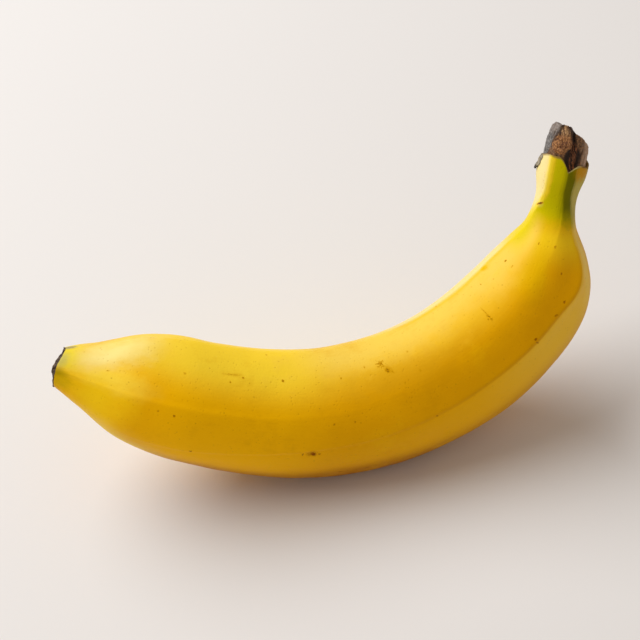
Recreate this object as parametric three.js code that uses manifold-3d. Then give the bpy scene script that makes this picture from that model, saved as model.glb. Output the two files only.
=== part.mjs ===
// A whole banana in its skin, lying on its outer curve and leaning back a little.
// Millimetres, +Z up. +X runs from the blossom tip towards the stem, and the origin is the
// bottom centre of the fruit's box, in the plane of the flat spot that it rests on.
import * as THREE from "three";
import Module from "manifold-3d";

// ---- Driving dimensions ----

// The fruit bends in one plane, which leans back from upright.
const LEAN_DEG = 22;
const BODY_LENGTH = 190; // along the middle line, blossom tip to the end of the green neck
const SWAY = 3; // the blossom tip swings back out of the plane
const SWAY_LENGTH = 45;

// Heading of the middle line above level, in degrees, at distances from the blossom tip.
const BEND = [
  [0, -24.5],
  [25, -27.5],
  [50, -23],
  [76, -9],
  [101, 9.5],
  [126, 28],
  [146, 46],
  [160, 67],
  [173, 76.5],
  [188, 75],
  [206, 87],
];

// Radius over the ridges, at distances from the blossom tip.
const GIRTH = [
  [0, 6.2],
  [5, 8.3],
  [12, 11.5],
  [21, 16.1],
  [36, 19.1],
  [55, 19.7],
  [78, 20.3],
  [103, 20.7],
  [128, 20.7],
  [146, 20],
  [158, 17.9],
  [167, 13.2],
  [175, 8.2],
  [184, 6.6],
  [190, 7.3],
  [206, 7],
];

// Five ridges run from tip to stem. Each has its angle round the section and how sharply the
// skin folds there, from 0 (round) to 1 (a corner), at five distances from the blossom tip.
// Angles start at the inside of the bend and go down the front.
const RIDGE_STATIONS = [15, 85, 130, 160, 183];
const RIDGES = [
  { angle: [7, -3, -3, -3, 47], fold: [0.35, 0.3, 0.3, 0.5, 0.6] }, // inside of the bend
  { angle: [76, 55, 50, 70, 95], fold: [0.45, 0.1, 0, 0.15, 0.6] }, // front, faint on the belly
  { angle: [131, 95, 91, 107, 127], fold: [0.4, 0.4, 0.5, 0.7, 0.7] }, // front, sharp shoulder
  { angle: [195, 158, 162, 176, 205], fold: [0.4, 0.6, 0.5, 0.4, 0.5] }, // before the flat spot
  { angle: [268, 238, 242, 260, 300], fold: [0.4, 0.6, 0.5, 0.4, 0.5] }, // behind the flat spot
];
const RIDGE_ROUNDING_DEG = 8;
const WIDEST_FACET_DEG = 100; // a wider facet bulges like one of this width

// The dried blossom tip is a thin ragged rim round a shallow dish.
// Its end is cut at a slope, shortest on the inside of the bend.
const RIM_LENGTH = 0.5;
const RIM_RADIUS = 5.6;
const RIM_RAGGED = 0.5;
const DISH_DEPTH = 1.2;
const TIP_CUT = 2.8;
const TIP_CUT_FADE = 14; // the slope of the cut is spread over this length of skin

// The dried crown stands on the neck, cut off at a slope, with one lobe over its outer side.
const CROWN_LENGTH = 15.4;
const CROWN_TOP_RADIUS = 4.5;
const CROWN_HIGH_SIDE_DEG = 20;
const CROWN_CUT_DROP = 6;
const CROWN_TOP_HUMP = 0.8;
const LOBE = { at: 194, angle: 158, out: 1.3, length: 9, width: 55 };
const CRACK = { at: 199, angle: 97, out: -1.5, length: 8, width: 14 };
const FLAKE = { at: 190, angle: 338, out: 2.2, length: 4, width: 26 };

const REST_DEPTH = 0.9; // how far the belly is pressed flat where it lies

const COLUMNS_PER_FACET = 8;
const BODY_RINGS = 70;
const CROWN_RINGS = 9;
const SPINE_STEP = 0.5;

// ---- Curves through stations ----

// A smooth line through [x, y] pairs that never swings past them.
function through(pairs) {
  const last = pairs.length - 1;
  const slope = (i) => (pairs[i + 1][1] - pairs[i][1]) / (pairs[i + 1][0] - pairs[i][0]);
  const tangents = pairs.map((_, i) => {
    if (i === 0) return slope(0);
    if (i === last) return slope(last - 1);
    const before = slope(i - 1);
    const after = slope(i);
    return before * after <= 0 ? 0 : (2 * before * after) / (before + after);
  });
  return (x) => {
    const inside = THREE.MathUtils.clamp(x, pairs[0][0], pairs[last][0]);
    let i = 0;
    while (i < last - 1 && inside > pairs[i + 1][0]) i += 1;
    const width = pairs[i + 1][0] - pairs[i][0];
    const t = (inside - pairs[i][0]) / width;
    const rise = t * t * (3 - 2 * t);
    const bow = t * (1 - t);
    return (
      pairs[i][1] * (1 - rise) +
      pairs[i + 1][1] * rise +
      width * bow * ((1 - t) * tangents[i] - t * tangents[i + 1])
    );
  };
}

const rad = THREE.MathUtils.degToRad;
const heading = through(BEND);
const girth = through(GIRTH);
const ridgeCurves = RIDGES.map((ridge) => ({
  angle: through(RIDGE_STATIONS.map((at, i) => [at, ridge.angle[i]])),
  fold: through(RIDGE_STATIONS.map((at, i) => [at, ridge.fold[i]])),
}));

// ---- The middle line ----

// Directions in the leaning plane of the bend: along the floor, up the plane, and out of its front.
const ALONG = new THREE.Vector3(1, 0, 0);
const UP = new THREE.Vector3(0, Math.sin(rad(LEAN_DEG)), Math.cos(rad(LEAN_DEG)));
const FRONT = new THREE.Vector3(0, -Math.cos(rad(LEAN_DEG)), Math.sin(rad(LEAN_DEG)));

// Points of the middle line, one each SPINE_STEP, found by walking along the heading.
function walkSpine() {
  const points = [new THREE.Vector3()];
  for (let at = SPINE_STEP / 2; at < BODY_LENGTH + CROWN_LENGTH; at += SPINE_STEP) {
    const direction = headingVector(at);
    points.push(points.at(-1).clone().addScaledVector(direction, SPINE_STEP));
  }
  return points;
}

function headingVector(at) {
  const angle = rad(heading(at));
  return ALONG.clone().multiplyScalar(Math.cos(angle)).addScaledVector(UP, Math.sin(angle));
}

function towardsInside(at) {
  const angle = rad(heading(at));
  return ALONG.clone().multiplyScalar(-Math.sin(angle)).addScaledVector(UP, Math.cos(angle));
}

const spine = walkSpine();

// The middle line at a distance from the blossom tip, carried on straight past its ends.
function spinePoint(at) {
  const end = (spine.length - 1) * SPINE_STEP;
  const inside = THREE.MathUtils.clamp(at, 0, end);
  const i = Math.min(Math.floor(inside / SPINE_STEP), spine.length - 2);
  const point = spine[i].clone().lerp(spine[i + 1], inside / SPINE_STEP - i);
  point.addScaledVector(headingVector(inside), at - inside);
  const fromTip = THREE.MathUtils.clamp(1 - at / SWAY_LENGTH, 0, 1);
  return point.addScaledVector(FRONT, -SWAY * fromTip * fromTip);
}

// ---- The ridged section ----

// Angle round the section of a column: whole numbers lie on the ridges.
function columnAngle(column, at) {
  const facet = Math.floor(column / COLUMNS_PER_FACET);
  const t = column / COLUMNS_PER_FACET - facet;
  const [low, high] = facetEdges(facet, at);
  return low + (high - low) * t;
}

function facetEdges(facet, at) {
  const low = ridgeCurves[facet].angle(at);
  const next = (facet + 1) % RIDGES.length;
  const turn = next === 0 ? 360 : 0;
  return [low, ridgeCurves[next].angle(at) + turn];
}

// Radius of the section as a share of the girth: 1 on a ridge, less in the middle of a facet.
function sectionShare(column, at) {
  const facet = Math.floor(column / COLUMNS_PER_FACET);
  const t = column / COLUMNS_PER_FACET - facet;
  const [low, high] = facetEdges(facet, at);
  const half = Math.min(high - low, WIDEST_FACET_DEG) / 2;
  const fromRidge = 2 * half * Math.min(t, 1 - t);
  const softened = Math.hypot(fromRidge, RIDGE_ROUNDING_DEG);
  const toMiddle = Math.hypot(half, RIDGE_ROUNDING_DEG) - softened;
  const straight = Math.cos(rad(half)) / Math.cos(rad(toMiddle));
  const foldLow = ridgeCurves[facet].fold(at);
  const foldHigh = ridgeCurves[(facet + 1) % RIDGES.length].fold(at);
  const fold = THREE.MathUtils.lerp(foldLow, foldHigh, t * t * (3 - 2 * t));
  return 1 + fold * (straight - 1);
}

// ---- Ends ----

// How far a bump stands out at a place: its full height in its middle, nothing past its edges.
function bump(shape, at, angle) {
  const turned = THREE.MathUtils.euclideanModulo(angle - shape.angle + 180, 360) - 180;
  const away = Math.hypot((at - shape.at) / shape.length, turned / shape.width);
  return away < 1 ? (shape.out * (1 + Math.cos(Math.PI * away))) / 2 : 0;
}

// The ragged edge of the blossom tip, a sum of three waves round it.
function ragged(angle) {
  const a = rad(angle);
  const waves = Math.sin(3 * a + 1) + 0.7 * Math.sin(5 * a + 2.2) + 0.5 * Math.sin(9 * a);
  return (RIM_RAGGED * waves) / 2;
}

// How much shorter the blossom end is at an angle, fading out along the skin.
function tipCut(angle, at) {
  const left = THREE.MathUtils.clamp(1 - at / TIP_CUT_FADE, 0, 1);
  return ((TIP_CUT * (1 + Math.cos(rad(angle)))) / 2) * left * left;
}

// The cut through the crown slopes down from its high side.
function cutDrop(angle) {
  return (CROWN_CUT_DROP * (1 - Math.cos(rad(angle - CROWN_HIGH_SIDE_DEG)))) / 2;
}

// ---- Rings of points ----

const COLUMNS = RIDGES.length * COLUMNS_PER_FACET;

function pointAt(at, angle, radius) {
  const angleRad = rad(angle);
  return spinePoint(at)
    .addScaledVector(towardsInside(at), radius * Math.cos(angleRad))
    .addScaledVector(FRONT, radius * Math.sin(angleRad));
}

function ringOf(makePoint) {
  return Array.from({ length: COLUMNS }, (_, column) => makePoint(column));
}

function bodyRing(at) {
  return ringOf((column) => {
    const angle = columnAngle(column, at);
    const bumps = bump(LOBE, at, angle) + bump(CRACK, at, angle) + bump(FLAKE, at, angle);
    const place = at + tipCut(angle, at);
    return pointAt(place, angle, girth(at) * sectionShare(column, at) + bumps);
  });
}

// A crown ring is a share of the way from the neck's end up to the sloping cut.
function crownRing(share) {
  return ringOf((column) => {
    const angle = columnAngle(column, BODY_LENGTH);
    const at = BODY_LENGTH + share * (CROWN_LENGTH - cutDrop(angle));
    const taper = THREE.MathUtils.lerp(girth(BODY_LENGTH), CROWN_TOP_RADIUS, share ** 3);
    const bumps = bump(LOBE, at, angle) + bump(CRACK, at, angle) + bump(FLAKE, at, angle);
    return pointAt(at, angle, taper * sectionShare(column, BODY_LENGTH) + bumps);
  });
}

// The cut's own surface, from its edge to its middle, as a low hump.
function crownCapRing(share) {
  return ringOf((column) => {
    const angle = columnAngle(column, BODY_LENGTH);
    const rise = CROWN_TOP_HUMP * (1 - share * share);
    const slope = CROWN_CUT_DROP / 2 + share * (cutDrop(angle) - CROWN_CUT_DROP / 2);
    const radius = share * CROWN_TOP_RADIUS * sectionShare(column, BODY_LENGTH);
    return pointAt(BODY_LENGTH + CROWN_LENGTH - slope + rise, angle, radius);
  });
}

// The blossom rim and its dish: share 1 is the rim's outer edge and 0 the middle of the dish.
function tipRing(share, out) {
  return ringOf((column) => {
    const angle = columnAngle(column, 0);
    const edge = ragged(angle) * share;
    const place = tipCut(angle, 0) * share - out - edge;
    return pointAt(place, angle, share * (RIM_RADIUS + edge / 2));
  });
}

function allRings() {
  const rings = [];
  rings.push(tipRing(0.4, RIM_LENGTH - DISH_DEPTH));
  rings.push(tipRing(0.8, RIM_LENGTH - DISH_DEPTH / 3));
  rings.push(tipRing(0.95, RIM_LENGTH));
  rings.push(tipRing(1, RIM_LENGTH / 2));
  for (let i = 0; i <= BODY_RINGS; i += 1) rings.push(bodyRing((BODY_LENGTH * i) / BODY_RINGS));
  for (let i = 1; i <= CROWN_RINGS; i += 1) rings.push(crownRing(i / CROWN_RINGS));
  rings.push(crownCapRing(0.7));
  rings.push(crownCapRing(0.3));
  return rings;
}

// ---- One closed skin over the rings ----

function middleOf(ring) {
  const sum = ring.reduce((total, point) => total.add(point), new THREE.Vector3());
  return sum.divideScalar(ring.length);
}

// Joins neighbouring rings by triangles and closes both ends to a point.
function closedLoft(rings) {
  const points = [middleOf(rings[0]), ...rings.flat(), middleOf(rings.at(-1))];
  const index = [];
  const vertex = (ring, column) => 1 + ring * COLUMNS + (column % COLUMNS);
  for (let column = 0; column < COLUMNS; column += 1) {
    index.push(0, vertex(0, column + 1), vertex(0, column));
    for (let ring = 0; ring < rings.length - 1; ring += 1) {
      const a = vertex(ring, column);
      const b = vertex(ring, column + 1);
      const c = vertex(ring + 1, column);
      const d = vertex(ring + 1, column + 1);
      index.push(a, b, c);
      index.push(b, d, c);
    }
    const top = rings.length - 1;
    index.push(points.length - 1, vertex(top, column), vertex(top, column + 1));
  }
  const geometry = new THREE.BufferGeometry().setFromPoints(points);
  geometry.setIndex(index);
  return geometry;
}

// ---- The flat spot it rests on ----

const wasm = await Module();
wasm.setup();

function toSolid(geometry) {
  const vertProperties = new Float32Array(geometry.getAttribute("position").array);
  const triVerts = new Uint32Array(geometry.index.array);
  return new wasm.Manifold(new wasm.Mesh({ numProp: 3, vertProperties, triVerts }));
}

function toGeometry(solid) {
  const mesh = solid.getMesh();
  const geometry = new THREE.BufferGeometry();
  geometry.setAttribute("position", new THREE.BufferAttribute(mesh.vertProperties, 3));
  geometry.setIndex(new THREE.BufferAttribute(mesh.triVerts, 1));
  return geometry;
}

// A block whose top is the floor, larger than the fruit.
function floorBlock(box, height) {
  const size = box.getSize(new THREE.Vector3()).length();
  const block = new THREE.BoxGeometry(size, size, size);
  const middle = box.getCenter(new THREE.Vector3());
  block.translate(middle.x, middle.y, height - size / 2);
  return shareCorners(block);
}

// The same faces with each corner stored once.
function shareCorners(geometry) {
  const places = new Map();
  const points = [];
  const position = geometry.getAttribute("position");
  const index = Array.from(geometry.index.array, (i) => {
    const point = new THREE.Vector3().fromBufferAttribute(position, i);
    const key = point.toArray().join();
    if (!places.has(key)) places.set(key, points.push(point) - 1);
    return places.get(key);
  });
  const shared = new THREE.BufferGeometry().setFromPoints(points);
  shared.setIndex(index);
  return shared;
}

function pressFlat(geometry) {
  geometry.computeBoundingBox();
  const box = geometry.boundingBox;
  const block = floorBlock(box, box.min.z + REST_DEPTH);
  return toGeometry(toSolid(geometry).subtract(toSolid(block)));
}

// ---- The part ----

function banana() {
  const geometry = pressFlat(closedLoft(allRings()));
  geometry.computeBoundingBox();
  const box = geometry.boundingBox;
  const middle = box.getCenter(new THREE.Vector3());
  geometry.translate(-middle.x, -middle.y, -box.min.z);
  geometry.computeVertexNormals();
  const skin = new THREE.MeshStandardMaterial({ color: 0xe0ae12, roughness: 0.45, metalness: 0 });
  const mesh = new THREE.Mesh(geometry, skin);
  mesh.name = "banana";
  return mesh;
}

const part = new THREE.Group();
part.add(banana());
export default part;
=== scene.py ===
import math

import bmesh
import bpy
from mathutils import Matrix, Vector, noise


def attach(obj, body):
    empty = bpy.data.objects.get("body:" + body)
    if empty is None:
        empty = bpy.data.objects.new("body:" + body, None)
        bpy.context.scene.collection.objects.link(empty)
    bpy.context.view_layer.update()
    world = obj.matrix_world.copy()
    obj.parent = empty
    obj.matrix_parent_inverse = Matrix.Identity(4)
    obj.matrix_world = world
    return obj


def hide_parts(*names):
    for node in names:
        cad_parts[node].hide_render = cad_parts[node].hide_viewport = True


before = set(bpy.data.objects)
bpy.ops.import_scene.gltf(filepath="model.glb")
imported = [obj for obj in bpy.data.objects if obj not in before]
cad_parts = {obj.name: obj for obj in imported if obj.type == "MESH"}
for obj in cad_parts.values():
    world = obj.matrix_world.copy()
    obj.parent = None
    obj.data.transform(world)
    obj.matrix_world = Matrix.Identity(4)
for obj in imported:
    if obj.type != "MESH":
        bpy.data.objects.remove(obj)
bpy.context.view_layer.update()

MM = 0.001
TINY = 1e-9  # room for rounding

# ---- Where the fruit lies: the same middle line, girth and ridges as the solid, in millimetres ----

START = Vector((-77.7565, 5.4972, 45.0278))  # the blossom end of the middle line
LEAN = math.radians(22)  # the plane of the bend leans back
SWAY = 3
SWAY_LENGTH = 45
SPINE_STEP = 0.5
NECK_END = 190
CROWN_LENGTH = 15.4

# Heading of the middle line above level, in degrees, at distances from the blossom tip.
BEND = [
    (0, -24.5), (25, -27.5), (50, -23), (76, -9), (101, 9.5), (126, 28),
    (146, 46), (160, 67), (173, 76.5), (188, 75), (206, 87),
]
# Radius over the ridges.
GIRTH = [
    (0, 6.2), (5, 8.3), (12, 11.5), (21, 16.1), (36, 19.1), (55, 19.7), (78, 20.3), (103, 20.7),
    (128, 20.7), (146, 20), (158, 17.9), (167, 13.2), (175, 8.2), (184, 6.6), (190, 7.3), (206, 7),
]
# Five ridges: angle round the section from the inside of the bend down the front, and how
# sharply the skin folds there, at seven distances from the blossom tip.
RIDGE_STATIONS = (15, 85, 130, 152, 167, 178, 188)
INSIDE_RIDGE = ((7, -3, 4, 7, 5, 18, 40), (0.35, 0.3, 0.4, 0.5, 0.5, 0.4, 0.45))
FRONT_RIDGE = ((79, 64, 52, 55, 72, 90, 78), (0.5, 0.06, 0.02, 0.08, 0.15, 0.4, 0.6))
SHOULDER_RIDGE = ((131, 94, 89, 96, 124, 120, 100), (0.4, 0.42, 0.65, 0.85, 0.75, 0.6, 0.6))
LOWER_RIDGE = ((195, 158, 162, 172, 185, 185, 160), (0.4, 0.6, 0.5, 0.45, 0.4, 0.45, 0.5))
BACK_RIDGE = ((268, 238, 242, 255, 275, 285, 280), (0.4, 0.6, 0.5, 0.45, 0.4, 0.45, 0.5))
BACK_RIDGE_TURNED = (tuple(a - 360 for a in BACK_RIDGE[0]), BACK_RIDGE[1])
RIDGES = (BACK_RIDGE_TURNED, INSIDE_RIDGE, FRONT_RIDGE, SHOULDER_RIDGE, LOWER_RIDGE, BACK_RIDGE)
RIDGE_COUNT = len(RIDGES) - 1  # the back ridge is listed at both ends
# How rounded the ridges are, in degrees, at distances from the blossom tip.
ROUNDING = [(0, 12), (60, 10), (100, 6), (130, 2.5), (165, 3), (180, 8), (206, 8)]
WIDEST_FACET = 100

ALONG = Vector((1, 0, 0))
UP = Vector((0, math.sin(LEAN), math.cos(LEAN)))
FRONT = Vector((0, -math.cos(LEAN), math.sin(LEAN)))


def clamp(x, low=0.0, high=1.0):
    return min(max(x, low), high)


def lerp(a, b, share):
    return a + (b - a) * share


def smooth(x):
    x = clamp(x)
    return x * x * (3 - 2 * x)


def through(pairs):
    """A smooth line through (x, y) pairs that never swings past them."""
    last = len(pairs) - 1

    def slope(i):
        return (pairs[i + 1][1] - pairs[i][1]) / (pairs[i + 1][0] - pairs[i][0])

    def tangent(i):
        if i in (0, last):
            return slope(min(i, last - 1))
        before, after = slope(i - 1), slope(i)
        return 0 if before * after <= 0 else 2 * before * after / (before + after)

    tangents = [tangent(i) for i in range(last + 1)]

    def value(x):
        x = clamp(x, pairs[0][0], pairs[last][0])
        i = 0
        while i < last - 1 and x > pairs[i + 1][0]:
            i += 1
        width = pairs[i + 1][0] - pairs[i][0]
        t = (x - pairs[i][0]) / width
        bow = width * t * (1 - t) * ((1 - t) * tangents[i] - t * tangents[i + 1])
        return lerp(pairs[i][1], pairs[i + 1][1], smooth(t)) + bow

    return value


heading = through(BEND)
girth = through(GIRTH)
ridge_rounding = through(ROUNDING)
ridge_angles = [through(list(zip(RIDGE_STATIONS, angles))) for angles, _ in RIDGES]
ridge_folds = [through(list(zip(RIDGE_STATIONS, folds))) for _, folds in RIDGES]


def heading_vector(at):
    angle = math.radians(heading(at))
    return ALONG * math.cos(angle) + UP * math.sin(angle)


def towards_inside(at):
    angle = math.radians(heading(at))
    return UP * math.cos(angle) - ALONG * math.sin(angle)


def walk_spine():
    points = [START.copy()]
    at = SPINE_STEP / 2
    while at < NECK_END + CROWN_LENGTH:
        points.append(points[-1] + heading_vector(at) * SPINE_STEP)
        at += SPINE_STEP
    return points


spine = walk_spine()


def spine_point(at):
    """The middle line at a distance from the blossom tip, carried on straight past its ends."""
    end = (len(spine) - 1) * SPINE_STEP
    inside = clamp(at, 0, end)
    i = min(int(inside / SPINE_STEP), len(spine) - 2)
    point = spine[i].lerp(spine[i + 1], inside / SPINE_STEP - i)
    point = point + heading_vector(inside) * (at - inside)
    return point - FRONT * SWAY * clamp(1 - at / SWAY_LENGTH) ** 2


def place(at, angle, radius):
    """A point in metres, from a distance along the fruit, an angle round it and a radius."""
    a = math.radians(angle)
    outwards = towards_inside(at) * math.cos(a) + FRONT * math.sin(a)
    return (spine_point(at) + outwards * radius) * MM


def facet_angle(facet, at):
    """The angle of a place between ridges: whole numbers lie on the ridges, from 0 to 5."""
    i = min(int(facet), RIDGE_COUNT - 1)
    return lerp(ridge_angles[i](at), ridge_angles[i + 1](at), facet - i)


def facet_of(angle, at):
    """The place between ridges that lies at an angle."""
    low = ridge_angles[0](at)
    angle = (angle - low) % 360 + low
    edges = [ridge(at) for ridge in ridge_angles]
    i = max(k for k in range(RIDGE_COUNT) if edges[k] <= angle + TINY)
    return i + (angle - edges[i]) / (edges[i + 1] - edges[i])


def section_share(facet, at):
    """Radius of the section as a share of the girth: 1 on a ridge, less between two."""
    i = min(int(facet), RIDGE_COUNT - 1)
    t = facet - i
    low, high = ridge_angles[i](at), ridge_angles[i + 1](at)
    half = min(high - low, WIDEST_FACET) / 2
    rounding = ridge_rounding(at)
    to_middle = math.hypot(half, rounding) - math.hypot(2 * half * min(t, 1 - t), rounding)
    straight = math.cos(math.radians(half)) / math.cos(math.radians(to_middle))
    fold = lerp(ridge_folds[i](at), ridge_folds[i + 1](at), smooth(t))
    return 1 + fold * (straight - 1)


def turned(angle, centre):
    """How far an angle is from another, from -180 to 180."""
    return (angle - centre + 180) % 360 - 180


def swell(at, angle, middle, size, out, edge=1.0):
    """Height of a soft bump or hollow at a place, with a flat top where edge is under 1."""
    away = math.hypot((at - middle[0]) / size[0], turned(angle, middle[1]) / size[1])
    return out * smooth((1 - away) / edge)


def grain(x, y, z, seed=0.0):
    """A smooth random value from about -1 to 1."""
    return noise.noise(Vector((x + seed, y, z)))


def on_circle(angle):
    """A place on a circle, where a random value meets itself after a full turn."""
    return math.cos(math.radians(angle)), math.sin(math.radians(angle))


# ---- Camera and light ----

CAMERA_PLACE = Vector((-0.0787, -0.2801, 0.3614))
CAMERA_AIM = Vector((-0.00181, 0.00696, 0.04277))
LAMP_TURN = math.radians(141)
LAMP_HEIGHT = math.radians(50.5)
LAMP_AWAY = 1.35


def add_camera():
    bpy.ops.object.camera_add(location=CAMERA_PLACE)
    camera = bpy.context.object
    camera.rotation_euler = (CAMERA_AIM - CAMERA_PLACE).to_track_quat("-Z", "Y").to_euler()
    camera.data.lens = 85
    camera.data.sensor_width = 36
    bpy.context.scene.camera = camera


def add_light():
    level = math.cos(LAMP_HEIGHT)
    back = Vector((math.cos(LAMP_TURN) * level, math.sin(LAMP_TURN) * level, math.sin(LAMP_HEIGHT)))
    bpy.ops.object.light_add(type="AREA", location=back * LAMP_AWAY)
    lamp = bpy.context.object
    lamp.rotation_euler = back.to_track_quat("Z", "Y").to_euler()
    lamp.data.shape = "ELLIPSE"
    lamp.data.size = 1.75
    lamp.data.size_y = 1.1
    lamp.data.energy = 20.4
    lamp.data.color = (0.98, 1.0, 1.015)
    world = bpy.data.worlds.new("soft room light")
    bpy.context.scene.world = world
    world.use_nodes = True
    sky = world.node_tree.nodes["Background"]
    sky.inputs["Color"].default_value = (1, 0.895, 0.8, 1)
    sky.inputs["Strength"].default_value = 0.37
    bpy.context.scene.view_settings.view_transform = "Standard"


# ---- Materials ----

# Sockets of a Mix node that mixes colours.
MIX_SHARE, MIX_FROM, MIX_TO, MIX_OUT = 0, 6, 7, 2
MAP_LENGTH = 200  # millimetres of fruit along the whole of a piece's map


class Wire:
    """A value in a material that can be used in sums."""

    def __init__(self, paint, socket):
        self.paint = paint
        self.socket = socket

    def __add__(self, other):
        return self.paint.math("ADD", self, other)

    def __radd__(self, other):
        return self.paint.math("ADD", other, self)

    def __sub__(self, other):
        return self.paint.math("SUBTRACT", self, other)

    def __rsub__(self, other):
        return self.paint.math("SUBTRACT", other, self)

    def __mul__(self, other):
        return self.paint.math("MULTIPLY", self, other)

    def __rmul__(self, other):
        return self.paint.math("MULTIPLY", other, self)

    def __truediv__(self, other):
        return self.paint.math("DIVIDE", self, other)

    def __rtruediv__(self, other):
        return self.paint.math("DIVIDE", other, self)


class Paint:
    """One procedural material and its nodes."""

    def __init__(self, name, constants):
        self.material = bpy.data.materials.new(name)
        self.material.use_nodes = True
        self.tree = self.material.node_tree
        self.shader = self.tree.nodes["Principled BSDF"]
        for socket, value in constants.items():
            self.set(socket, value)
        self.here = self.node("ShaderNodeTexCoord", out="Object")

    def set(self, name, value):
        self.feed(self.shader.inputs[name], value)

    def feed(self, socket, value):
        """Links a wire to a socket, or sets the socket to a plain value."""
        if isinstance(value, Wire):
            self.tree.links.new(value.socket, socket)
        elif socket.type == "RGBA":
            socket.default_value = (*value, 1)
        else:
            socket.default_value = value

    def node(self, kind, settings=None, inputs=None, out=0):
        made = self.tree.nodes.new(kind)
        for key, value in (settings or {}).items():
            setattr(made, key, value)
        for key, value in (inputs or {}).items():
            self.feed(made.inputs[key], value)
        return Wire(self, made.outputs[out])

    def math(self, operation, *values):
        return self.node("ShaderNodeMath", {"operation": operation}, dict(enumerate(values)))

    def vector(self, operation, *values):
        return self.node("ShaderNodeVectorMath", {"operation": operation}, dict(enumerate(values)))

    def mix(self, share, a, b):
        inputs = {MIX_SHARE: share, MIX_FROM: a, MIX_TO: b}
        return self.node("ShaderNodeMix", {"data_type": "RGBA"}, inputs, MIX_OUT)

    def lay(self, base, layers):
        """Lays colours over a base in turn, each as thickly as its mask says."""
        for mask, colour in layers:
            base = self.mix(mask, base, colour)
        return base

    def ramp(self, value, low, high, to_low=0.0, to_high=1.0):
        """A value carried smoothly from one range to another, and held at its ends."""
        inputs = {"Value": value, "From Min": low, "From Max": high, "To Min": to_low, "To Max": to_high}
        return self.node("ShaderNodeMapRange", {"interpolation_type": "SMOOTHSTEP"}, inputs)

    def band(self, value, low, high, soft):
        """1 between low and high, and 0 outside, with soft edges."""
        return self.ramp(value, low - soft, low + soft) * self.ramp(value, high + soft, high - soft)

    def stray(self, pattern, reach):
        """A pattern's swing to both sides of its middle."""
        return (pattern - 0.5) * reach

    def split(self, vector, axis):
        return self.node("ShaderNodeSeparateXYZ", None, {0: vector}, axis)

    def join(self, x, y):
        return self.node("ShaderNodeCombineXYZ", None, {0: x, 1: y})

    def map_place(self, name):
        return self.node("ShaderNodeUVMap", {"uv_map": name})

    def fruit_place(self):
        """Millimetres from the blossom tip, and the angle round the section."""
        wrap = self.map_place("wrap")
        return self.split(wrap, 0) * MAP_LENGTH, self.split(wrap, 1) * 360

    def stored(self, name):
        return self.node("ShaderNodeAttribute", {"attribute_name": name}, out="Fac")

    def cloud(self, where, scale, detail=2.0, rough=0.5, out=0):
        inputs = {"Vector": where, "Scale": scale, "Detail": detail, "Roughness": rough}
        return self.node("ShaderNodeTexNoise", None, inputs, out)

    def cells(self, where, scale, feature="F1"):
        return self.node("ShaderNodeTexVoronoi", {"feature": feature}, {"Vector": where, "Scale": scale})

    def wandering(self, where, scale, reach):
        """A place moved a little at random, so that edges turn ragged."""
        wander = self.vector("SUBTRACT", self.cloud(where, scale, 3.0, 0.7, "Color"), (0.5, 0.5, 0.5))
        return self.vector("ADD", where, self.vector("MULTIPLY", wander, (reach, reach, 0)))

    def bump(self, height, distance, strength):
        inputs = {"Height": height, "Distance": distance, "Strength": strength}
        self.set("Normal", self.node("ShaderNodeBump", None, inputs))


# ---- The paint of the skin ----

ROUND_MM = 0.33  # millimetres of skin for each degree round the belly
BACK_FOLD = 160  # degrees of colour that the last facet carries back to the inside of the bend

# The skin's yellow in painted light and shade by side: lit inside the bend, shaded on the front, darkest on
# the belly.
LIT_INSIDE_YELLOW = (0.87, 0.59, 0.08)
HALF_LIT_UPPER_YELLOW = (0.84, 0.48, 0.015)
SHADED_FRONT_YELLOW = (0.86, 0.415, 0.001)
BELLY_PAINTED_SHADE = (0.52, 0.2, 0.001)
PAINTED_LIGHT_UPPER = (1.0, 0.69, 0.033)
PAINTED_LIGHT_FRONT = (1.0, 0.52, 0.001)
PALE_MOTTLE_LIT = (0.95, 0.62, 0.06)
PALE_MOTTLE_SHADED = (0.95, 0.53, 0.003)
SHOULDER_TOP_HIGHLIGHT = (0.95, 0.63, 0.11)
SHADED_YELLOW = (0.62, 0.28, 0.001)
DULL_YELLOW = (0.7, 0.33, 0.001)
STRIP_PAINTED_HIGHLIGHT = (0.98, 0.71, 0.29)
STRIP_LINE = (0.78, 0.47, 0.001)
# Painted light on the tip: its lit front, two painted highlights and painted bounce light under the chin.
TIP_FRONT_PAINTED_LIGHT = (1.0, 0.63, 0.008)
TIP_RIDGE_HIGHLIGHT = (1.0, 0.72, 0.07)
TIP_TOP_HIGHLIGHT = (0.96, 0.79, 0.27)
CHIN_BOUNCE_LIGHT = (1.0, 0.72, 0.12)
# Painted shade above the shoulder ridge, and painted bounce light from the floor below it.
ABOVE_SHOULDER_SHADE = (0.78, 0.365, 0.0006)
BELOW_SHOULDER_BOUNCE = (0.98, 0.52, 0.003)
BELOW_SHOULDER_BOUNCE_PALE = (1.0, 0.62, 0.04)
RIM_BOUNCE_LIGHT = (1.0, 0.7, 0.1)
COLLAR_UPPER = (0.98, 0.66, 0.09)
COLLAR_FRONT = (0.97, 0.67, 0.015)
COLLAR_INSIDE = (0.74, 0.58, 0.003)
SHOULDER_PAINTED_SHADE = (0.7, 0.46, 0.001)
PORE_BROWN = (0.5, 0.25, 0.002)
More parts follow.
